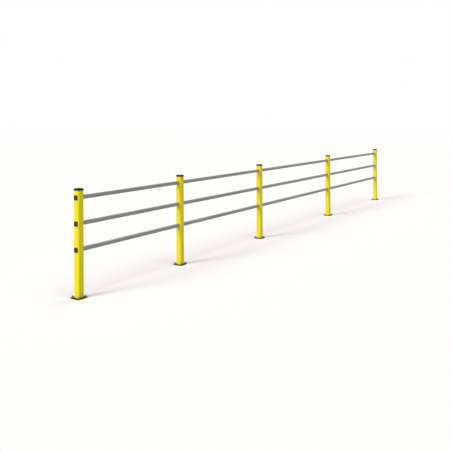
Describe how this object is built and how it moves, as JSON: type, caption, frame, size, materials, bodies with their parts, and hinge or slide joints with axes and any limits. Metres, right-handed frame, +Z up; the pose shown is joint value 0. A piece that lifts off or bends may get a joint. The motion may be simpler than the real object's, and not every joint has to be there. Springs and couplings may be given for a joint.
{
  "type": "modular handrail",
  "caption": "Straight run of floor-bolted pedestrian handrail: hollow yellow square posts with dark caps, and grey square rails passing through them in bays.",
  "frame": {"origin": "on the floor, at the centre of the underside of the first post base plate", "axes": "+X along the row from the first post to the last, +Z up, -Y is the front side of the rails"},
  "size_m": [8.63, 0.125, 1.1],
  "materials": {
    "post": "satin yellow moulded polymer, coloured all through",
    "rail": "satin mid-grey extruded polymer",
    "post_cap": "fine-grained black moulded plastic",
    "rail_end_cap": "fine-grained black moulded plastic",
    "base_plate": "dark grey powder-coated steel",
    "anchor": "dark plated steel anchors"
  },
  "bodies": {
    "root": {"base_plate_1": "base_plate", "base_plate_2": "base_plate", "base_plate_3": "base_plate", "base_plate_4": "base_plate", "base_plate_5": "base_plate", "post_1": "post", "post_2": "post", "post_3": "post", "post_4": "post", "post_5": "post", "post_cap_1": "post_cap", "post_cap_2": "post_cap", "post_cap_3": "post_cap", "post_cap_4": "post_cap", "post_cap_5": "post_cap", "top_rail_1": "rail", "top_rail_2": "rail", "top_rail_3": "rail", "top_rail_4": "rail", "middle_rail_1": "rail", "middle_rail_2": "rail", "middle_rail_3": "rail", "middle_rail_4": "rail", "bottom_rail_1": "rail", "bottom_rail_2": "rail", "bottom_rail_3": "rail", "bottom_rail_4": "rail", "top_end_cap_first": "rail_end_cap", "top_end_cap_last": "rail_end_cap", "middle_end_cap_first": "rail_end_cap", "middle_end_cap_last": "rail_end_cap", "bottom_end_cap_first": "rail_end_cap", "bottom_end_cap_last": "rail_end_cap"}
  },
  "joints": []
}
